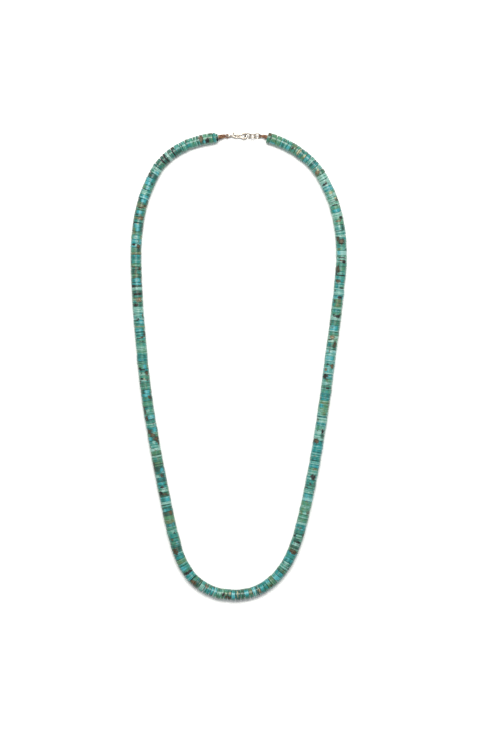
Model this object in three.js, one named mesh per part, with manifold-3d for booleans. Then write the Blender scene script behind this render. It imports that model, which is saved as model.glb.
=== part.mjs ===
// A strung necklace of ground stone discs (heishi), lying closed on a flat surface.
// The discs thread one cord. Each end of the cord is bound into a small loop: the left loop holds a bent
// wire hook, the right loop holds three plain wire rings, and the hook is caught in the first ring.
// Millimetres. +Z is up, z = 0 is the surface, +Y runs from the front of the necklace to its clasp, and
// the origin is under the middle of the necklace.
import * as THREE from "three";
import { mergeVertices } from "three/addons/utils/BufferGeometryUtils.js";
import Module from "manifold-3d";

const wasm = await Module();
wasm.setup();

// Discs
const BEAD_DIAMETER = 6.0;
const BEAD_PITCH = 2.055; // one disc and the groove after it, on average
const GROOVE_WIDTH = 0.3; // between the rims of two discs
const GROOVE_DEPTH = 0.75;
const BEAD_SIDES = 10;
const CORE_SIDES = BEAD_SIDES / 2;
// Hand-ground discs differ: each row is a share of the average, taken in turn along the string.
const THICKNESS_SHARES = [1.0, 0.88, 1.1, 0.95, 1.21, 0.86, 1.05, 0.93, 1.12, 0.9];
const DIAMETER_SHARES = [1.0, 0.985, 1.012, 0.978, 1.004, 0.992, 1.016];

// The line that the string follows, seen from above, from its left end round the front to its right end.
// The two ends themselves are worked out from the clasp.
const STRING_ROUTE = [
  { x: -23.0, y: 126.8 },
  { x: -33.5, y: 122.5 },
  { x: -43.6, y: 114.3 },
  { x: -50.7, y: 102.1 },
  { x: -55.6, y: 86.7 },
  { x: -57.9, y: 66.8 },
  { x: -57.4, y: 43.0 },
  { x: -55.6, y: 16.9 },
  { x: -52.1, y: -16.0 },
  { x: -46.6, y: -49.0 },
  { x: -41.3, y: -76.0 },
  { x: -36.6, y: -97.0 },
  { x: -32.6, y: -109.4 },
  { x: -25.2, y: -120.4 },
  { x: -15.0, y: -126.9 },
  { x: -3.1, y: -129.0 },
  { x: 8.1, y: -127.4 },
  { x: 18.3, y: -121.4 },
  { x: 26.9, y: -111.3 },
  { x: 32.4, y: -98.8 },
  { x: 37.2, y: -81.0 },
  { x: 42.5, y: -55.2 },
  { x: 47.5, y: -24.9 },
  { x: 52.1, y: 9.8 },
  { x: 55.7, y: 37.0 },
  { x: 57.8, y: 64.2 },
  { x: 55.8, y: 82.9 },
  { x: 50.8, y: 98.6 },
  { x: 43.3, y: 111.7 },
  { x: 32.5, y: 121.2 },
  { x: 23.4, y: 126.2 },
];

// Clasp: a hook of round wire and three rings
const HOOK_WIRE = 0.9;
const HOOK_LENGTH = 11.9; // over the eye and the bend
const HOOK_EYE_DIAMETER = 3.2; // outside
const HOOK_BEND_DIAMETER = 3.9; // outside
const HOOK_NECK_GAP = 0.45; // between the shank and the returning arm
const HOOK_NECK_LENGTH = 3.6;
const HOOK_TIP_RISE = 1.6; // from the hook's centre line to the tip
const HOOK_TIP_BALL = 1.1;
const RING_COUNT = 3;
const RING_DIAMETER = 4.3; // outside
const RING_WIRE = 0.68;
const RING_TILT = 50; // degrees from lying flat, to each side in turn
const CLASP_PLAY = 0.3; // from wire or cord to the next piece that it holds

// Cord ends: a loop bound with fine cord
const LOOP_CORD = 0.56;
const LOOP_ROOM = 0.5; // the loop's inside is this much wider than what it holds
const LEFT_LOOP_LENGTH = 3.0;
const RIGHT_LOOP_LENGTH = 2.0;
const LEFT_BINDING_LENGTH = 3.3;
const RIGHT_BINDING_LENGTH = 2.9;
const BINDING_DIAMETER = 2.3; // at the discs
const BINDING_END_DIAMETER = 1.75; // at the loop
const BINDING_CORD = 0.55; // one turn's width
const TURN_DEPTH = 0.1; // between two turns
const END_CLEARANCE = 0.3; // between the binding and the last disc

// Where the clasp lies
const CLASP_X = 2.1;
const CLASP_Y = 129.7;
const STRING_END_DROP = 0.9; // the string's ends lie this much nearer the front than the clasp

const UP = new THREE.Vector3(0, 0, 1);
const ALONG = new THREE.Vector3(1, 0, 0);

// The corner radius of a polygon that has the area of a circle.
function cornerRadius(radius, sides) {
  const turn = (2 * Math.PI) / sides;
  return radius * Math.sqrt(turn / Math.sin(turn));
}

// A ring of points round a centre, in the plane across the direction, starting level with the centre.
function ringOfPoints(centre, direction, up, radius, sides, start = 0) {
  const side = new THREE.Vector3().crossVectors(up, direction).normalize();
  const top = new THREE.Vector3().crossVectors(direction, side).normalize();
  return Array.from({ length: sides }, (_, k) => {
    const angle = start + (2 * Math.PI * k) / sides;
    return centre
      .clone()
      .addScaledVector(side, radius * Math.cos(angle))
      .addScaledVector(top, radius * Math.sin(angle));
  });
}

// Joins rings of points into one closed body. A ring may have half as many points as its neighbour.
function bodyThroughRings(rings) {
  const starts = [];
  const positions = [];
  for (const ring of rings) {
    starts.push(positions.length / 3);
    for (const point of ring) positions.push(point.x, point.y, point.z);
  }
  const faces = [];
  rings.slice(1).forEach((ring, i) => {
    const before = rings[i];
    const a = (k) => starts[i] + (k % before.length);
    const b = (k) => starts[i + 1] + (k % ring.length);
    if (before.length === ring.length) {
      for (let k = 0; k < ring.length; k++) {
        faces.push(a(k), a(k + 1), b(k + 1), a(k), b(k + 1), b(k));
      }
    } else if (before.length > ring.length) {
      for (let k = 0; k < ring.length; k++) {
        faces.push(a(2 * k), a(2 * k + 1), b(k), a(2 * k + 1), a(2 * k + 2), b(k));
        faces.push(a(2 * k + 2), b(k + 1), b(k));
      }
    } else {
      for (let k = 0; k < before.length; k++) {
        faces.push(b(2 * k + 1), b(2 * k), a(k), b(2 * k + 2), b(2 * k + 1), a(k));
        faces.push(b(2 * k + 2), a(k), a(k + 1));
      }
    }
  });
  const last = rings.length - 1;
  for (let k = 1; k < rings[0].length - 1; k++) faces.push(starts[0], starts[0] + k + 1, starts[0] + k);
  for (let k = 1; k < rings[last].length - 1; k++) {
    faces.push(starts[last], starts[last] + k, starts[last] + k + 1);
  }
  const geometry = new THREE.BufferGeometry();
  geometry.setAttribute("position", new THREE.Float32BufferAttribute(positions, 3));
  geometry.setIndex(faces);
  return geometry;
}

// A round bar along a curve. Its radius is a function of the share of the way along.
function barAlong(curve, radiusAt, sides, steps, up) {
  const shares = Array.from({ length: steps + 1 }, (_, i) => i / steps);
  return bodyThroughRings(
    shares.map((t) => ringOfPoints(curve.getPoint(t), curve.getTangent(t), up, radiusAt(t), sides)),
  );
}

function solidOf(geometry) {
  const bare = geometry.clone();
  bare.deleteAttribute("normal");
  bare.deleteAttribute("uv");
  const merged = mergeVertices(bare, 1e-4);
  return new wasm.Manifold(
    new wasm.Mesh({
      numProp: 3,
      vertProperties: new Float32Array(merged.attributes.position.array),
      triVerts: new Uint32Array(merged.index.array),
    }),
  );
}

function joined(...geometries) {
  const mesh = geometries.map(solidOf).reduce((a, b) => a.add(b)).getMesh();
  const geometry = new THREE.BufferGeometry();
  geometry.setAttribute("position", new THREE.BufferAttribute(mesh.vertProperties, 3));
  geometry.setIndex(new THREE.BufferAttribute(mesh.triVerts, 1));
  return geometry;
}

// The clasp's places along X, each worked out from the one before it, from the left string end on.
const toWireMiddle = (outsideDiameter, wire) => (outsideDiameter - wire) / 2;
const eyeRadius = toWireMiddle(HOOK_EYE_DIAMETER, HOOK_WIRE);
const bendRadius = toWireMiddle(HOOK_BEND_DIAMETER, HOOK_WIRE);
const ringRadius = toWireMiddle(RING_DIAMETER, RING_WIRE);
const bindingStart = END_CLEARANCE - GROOVE_WIDTH / 2;
const leftLoopReach = bindingStart + LEFT_BINDING_LENGTH + LEFT_LOOP_LENGTH - LOOP_CORD / 2;
const rightLoopReach = bindingStart + RIGHT_BINDING_LENGTH + RIGHT_LOOP_LENGTH - LOOP_CORD / 2;
const eyeFromLoop = eyeRadius - (LOOP_CORD + HOOK_WIRE) / 2 - CLASP_PLAY;
const bendFromEye = HOOK_LENGTH - HOOK_EYE_DIAMETER / 2 - HOOK_BEND_DIAMETER / 2;
const ringFromBend = bendRadius + ringRadius - (HOOK_WIRE + RING_WIRE) / 2 - CLASP_PLAY;
const ringPitch = 2 * ringRadius - RING_WIRE - CLASP_PLAY;
const loopFromRing = ringRadius - (RING_WIRE + LOOP_CORD) / 2 - CLASP_PLAY;
const hookAndRings = eyeFromLoop + bendFromEye + ringFromBend + (RING_COUNT - 1) * ringPitch + loopFromRing;
const claspLength = leftLoopReach + hookAndRings + rightLoopReach;
const claspStartX = CLASP_X - claspLength / 2;
const claspEndX = CLASP_X + claspLength / 2;
const eyeX = claspStartX + leftLoopReach + eyeFromLoop;
const bendX = eyeX + bendFromEye;
const firstRingX = bendX + ringFromBend;
const tiltOfRing = (index) => THREE.MathUtils.degToRad(index % 2 === 0 ? RING_TILT : -RING_TILT);
const claspHeight = ringRadius * Math.sin(tiltOfRing(0)) + RING_WIRE / 2;

// The string's line
const restHeight = (radius) => cornerRadius(radius, BEAD_SIDES) * Math.cos(Math.PI / BEAD_SIDES);
const endPoint = (x) => ({ x, y: CLASP_Y - STRING_END_DROP });
const stringCurve = new THREE.CatmullRomCurve3(
  [endPoint(claspStartX), ...STRING_ROUTE, endPoint(claspEndX)].map(
    (p) => new THREE.Vector3(p.x, p.y, restHeight(BEAD_DIAMETER / 2)),
  ),
  false,
  "centripetal",
);
stringCurve.arcLengthDivisions = 3000;

// One fused length of string between two shares of the line. Every disc stands on z = 0.
function beadString(fromShare, toShare, firstBead) {
  const length = stringCurve.getLength();
  const span = (toShare - fromShare) * length;
  const count = Math.round(span / BEAD_PITCH);
  const shareOf = (table, i) => table[(firstBead + i) % table.length];
  const nominal = Array.from({ length: count }, (_, i) => shareOf(THICKNESS_SHARES, i) * BEAD_PITCH);
  const stretch = span / nominal.reduce((sum, thickness) => sum + thickness, 0);
  const ringAt = (distance, radius, sides, height, turned) => {
    const share = THREE.MathUtils.clamp(distance / length, 0, 1);
    const centre = stringCurve.getPointAt(share).setZ(height);
    return ringOfPoints(centre, stringCurve.getTangentAt(share), UP, radius, sides, turned);
  };
  const rings = [];
  let distance = fromShare * length;
  nominal.forEach((thickness, i) => {
    const next = distance + thickness * stretch;
    const radius = (BEAD_DIAMETER / 2) * shareOf(DIAMETER_SHARES, i);
    const height = restHeight(radius);
    const rim = cornerRadius(radius, BEAD_SIDES);
    rings.push(ringAt(distance + GROOVE_WIDTH / 2, rim, BEAD_SIDES, height, 0));
    rings.push(ringAt(next - GROOVE_WIDTH / 2, rim, BEAD_SIDES, height, 0));
    if (i < count - 1) {
      const core = cornerRadius(radius - GROOVE_DEPTH, CORE_SIDES);
      rings.push(ringAt(next, core, CORE_SIDES, height, Math.PI / BEAD_SIDES));
    }
    distance = next;
  });
  return { geometry: bodyThroughRings(rings), count };
}

// A cord end: turns of fine cord bound round a neck that runs from the last disc down to the clasp's
// height, and the loop that stands out of the neck. The loop lies in the plane that the tilt gives.
function cordLoop({ share, towards, bindingLength, loopLength, held, tilt }) {
  const outward = ALONG.clone().multiplyScalar(towards);
  const stringEnd = stringCurve.getPointAt(share);
  const leaving = stringCurve.getTangentAt(share).multiplyScalar(share === 0 ? -1 : 1);
  const neckStart = stringEnd.clone().addScaledVector(leaving, bindingStart);
  const neckEnd = new THREE.Vector3(
    stringEnd.x + towards * (bindingStart + bindingLength),
    CLASP_Y,
    claspHeight,
  );
  const bow = bindingLength / 3;
  const neck = new THREE.CubicBezierCurve3(
    neckStart,
    neckStart.clone().addScaledVector(leaving, bow),
    neckEnd.clone().addScaledVector(outward, -bow),
    neckEnd,
  );
  const turns = Math.max(2, Math.round(bindingLength / BINDING_CORD));
  const taper = (t) => THREE.MathUtils.lerp(BINDING_DIAMETER, BINDING_END_DIAMETER, t) / 2;
  const boundRadius = (t) => taper(t) - (Math.round(t * turns * 2) % 2 === 0 ? TURN_DEPTH : 0);
  const binding = barAlong(neck, boundRadius, 6, turns * 2, UP);

  const across = new THREE.Vector3(0, Math.cos(tilt), Math.sin(tilt));
  const halfWidth = (held + LOOP_ROOM + LOOP_CORD) / 2;
  const reach = loopLength - LOOP_CORD / 2;
  const rootWidth = Math.min(halfWidth, BINDING_END_DIAMETER / 2 - LOOP_CORD / 2 - TURN_DEPTH);
  const at = (out, side) =>
    neckEnd.clone().addScaledVector(outward, out).addScaledVector(across, side);
  const side = [
    { out: -bindingLength / 4, width: rootWidth },
    { out: 0, width: rootWidth },
    { out: reach - halfWidth, width: halfWidth },
    { out: reach - halfWidth * (1 - Math.SQRT1_2), width: halfWidth * Math.SQRT1_2 },
  ];
  const loopCurve = new THREE.CatmullRomCurve3(
    [
      ...side.map((p) => at(p.out, p.width)),
      at(reach, 0),
      ...side.reverse().map((p) => at(p.out, -p.width)),
    ],
    false,
    "centripetal",
  );
  const loopUp = new THREE.Vector3().crossVectors(across, outward);
  const loop = barAlong(loopCurve, () => LOOP_CORD / 2, 5, loopCurve.points.length + 1, loopUp);
  return joined(binding, loop);
}

// The hook: a soldered eye standing on edge, a shank, and a flat round bend that returns along the shank
// to a tip turned outwards and melted into a small ball.
function hook() {
  const eye = new THREE.TorusGeometry(eyeRadius, HOOK_WIRE / 2, 5, 12);
  eye.rotateX(Math.PI / 2);
  eye.translate(eyeX, CLASP_Y, claspHeight);

  const neck = (HOOK_WIRE + HOOK_NECK_GAP) / 2; // from the centre line to the shank and to the arm
  const opening = Math.asin(neck / bendRadius);
  const neckRight = bendX - bendRadius * Math.cos(opening) - HOOK_WIRE / 2;
  const neckLeft = neckRight - HOOK_NECK_LENGTH;
  const tipReach = HOOK_TIP_RISE - neck;
  const at = (x, side) => new THREE.Vector3(x, CLASP_Y + side, claspHeight);
  const bendSteps = 10;
  const bend = Array.from({ length: bendSteps + 1 }, (_, i) => {
    const angle = (Math.PI - 2 * opening) * ((2 * i) / bendSteps - 1);
    return at(bendX + bendRadius * Math.cos(angle), bendRadius * Math.sin(angle));
  });
  const tip = at(neckLeft - tipReach / 2, HOOK_TIP_RISE);
  const line = new THREE.CatmullRomCurve3(
    [
      at(eyeX + eyeRadius, 0),
      at(eyeX + eyeRadius + HOOK_WIRE, 0),
      at(neckLeft, -neck),
      at(neckRight, -neck),
      ...bend,
      at(neckRight, neck),
      at(neckLeft + tipReach / 2, neck),
      tip,
    ],
    false,
    "centripetal",
  );
  const wire = barAlong(line, () => HOOK_WIRE / 2, 6, line.points.length - 1, UP);
  const ball = new THREE.SphereGeometry(HOOK_TIP_BALL / 2, 6, 5);
  ball.translate(tip.x, tip.y, tip.z);
  return joined(eye, wire, ball);
}

function ring(index) {
  const geometry = new THREE.TorusGeometry(ringRadius, RING_WIRE / 2, 5, 12);
  geometry.rotateX(tiltOfRing(index));
  geometry.translate(firstRingX + index * ringPitch, CLASP_Y, claspHeight);
  return geometry;
}

const turquoise = new THREE.MeshStandardMaterial({ color: 0x5fa79c, roughness: 0.35, metalness: 0 });
const silver = new THREE.MeshStandardMaterial({ color: 0xe4e1dc, roughness: 0.2, metalness: 1 });
const cord = new THREE.MeshStandardMaterial({ color: 0x8a5a3a, roughness: 0.8, metalness: 0 });

const necklace = new THREE.Group();

function add(name, geometry, material) {
  const mesh = new THREE.Mesh(geometry, material);
  mesh.name = name;
  necklace.add(mesh);
}

const leftString = beadString(0, 0.5, 0);
const rightString = beadString(0.5, 1, leftString.count);
const leftLoop = cordLoop({
  share: 0,
  towards: 1,
  bindingLength: LEFT_BINDING_LENGTH,
  loopLength: LEFT_LOOP_LENGTH,
  held: HOOK_WIRE,
  tilt: 0,
});
const rightLoop = cordLoop({
  share: 1,
  towards: -1,
  bindingLength: RIGHT_BINDING_LENGTH,
  loopLength: RIGHT_LOOP_LENGTH,
  held: RING_WIRE,
  tilt: tiltOfRing(RING_COUNT - 1) - Math.PI / 2,
});
add("bead_string_left", leftString.geometry, turquoise);
add("bead_string_right", rightString.geometry, turquoise);
add("cord_loop_left", leftLoop, cord);
add("cord_loop_right", rightLoop, cord);
add("hook", hook(), silver);
for (let i = 0; i < RING_COUNT; i++) add(`ring_${i + 1}`, ring(i), silver);

export default necklace;
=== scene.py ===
"""A strung necklace of ground turquoise discs with a silver hook clasp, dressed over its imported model.

Lengths are in metres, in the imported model's own frame: z = 0 is the surface that the necklace lies on, and
+Y runs from its front to its clasp.
"""

import bpy
import numpy as np
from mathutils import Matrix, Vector


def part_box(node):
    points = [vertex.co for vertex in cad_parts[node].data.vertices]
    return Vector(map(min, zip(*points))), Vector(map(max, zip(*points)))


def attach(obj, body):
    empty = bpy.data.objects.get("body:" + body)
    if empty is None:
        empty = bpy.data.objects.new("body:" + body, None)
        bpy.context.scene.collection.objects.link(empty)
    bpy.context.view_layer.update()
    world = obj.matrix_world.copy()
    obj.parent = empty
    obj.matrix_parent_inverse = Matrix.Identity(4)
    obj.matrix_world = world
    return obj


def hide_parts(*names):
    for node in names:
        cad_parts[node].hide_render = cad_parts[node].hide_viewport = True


bl_info = {
    "name": "Turquoise disc necklace",
    "version": (1, 0, 0),
    "blender": (4, 5, 0),
    "location": "View3D > Sidebar > Necklace",
    "description": "Makes the discs, cord ends, hook, rings and stage of a strung turquoise necklace",
    "category": "Object",
}

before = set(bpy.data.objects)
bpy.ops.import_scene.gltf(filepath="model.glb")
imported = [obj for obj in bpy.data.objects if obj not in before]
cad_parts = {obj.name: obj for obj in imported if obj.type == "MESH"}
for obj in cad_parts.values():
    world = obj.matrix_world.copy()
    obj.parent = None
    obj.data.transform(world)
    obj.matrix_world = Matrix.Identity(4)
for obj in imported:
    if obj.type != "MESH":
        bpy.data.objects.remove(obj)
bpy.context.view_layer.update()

MM = 0.001
UP = np.array([0.0, 0.0, 1.0])

# The line that the string follows, in millimetres from above, from its left end round the front to its
# right end.
STRING_ROUTE = (
    (-11.8, 128.8), (-23.0, 126.8), (-33.5, 122.5), (-43.6, 114.3), (-50.7, 102.1), (-55.6, 86.7),
    (-57.9, 66.8), (-57.4, 43.0), (-55.6, 16.9), (-52.1, -16.0), (-46.6, -49.0), (-41.3, -76.0),
    (-36.6, -97.0), (-32.6, -109.4), (-25.2, -120.4), (-15.0, -126.9), (-3.1, -129.0), (8.1, -127.4),
    (18.3, -121.4), (26.9, -111.3), (32.4, -98.8), (37.2, -81.0), (42.5, -55.2), (47.5, -24.9),
    (52.1, 9.8), (55.7, 37.0), (57.8, 64.2), (55.8, 82.9), (50.8, 98.6), (43.3, 111.7),
    (32.5, 121.2), (23.4, 126.2), (16.0, 128.8),
)

# Kinds of stone. Tint runs from olive (0) through green and teal to sky blue (1). Tone is below 0 in dark
# stone and above 0 in pale stone.
STONE_KINDS = {
    "sky": {"tint": 1.1, "tone": 0.4},
    "teal": {"tint": 0.8, "tone": -0.15},
    "deep": {"tint": 0.8, "tone": -0.7},
    "chalk": {"tint": 1.0, "tone": 1.1},
    "pale": {"tint": 0.5, "tone": 1.1},
    "green": {"tint": 0.36, "tone": 0.05},
    "moss": {"tint": 0.2, "tone": 0.0},
    "olive": {"tint": 0.0, "tone": -0.1},
    "dim": {"tint": 0.4, "tone": -0.8},
    "dark": {"tint": 0.5, "tone": -1.7},
}

# Kinds of matrix, as its hue, which runs from cream (0 and less) through rust and brown to black (1).
ORE_KINDS = {"cream": -0.2, "buff": -0.06, "tan": 0.16, "rust": 0.36, "brown": 0.54, "black": 1.0}

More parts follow.
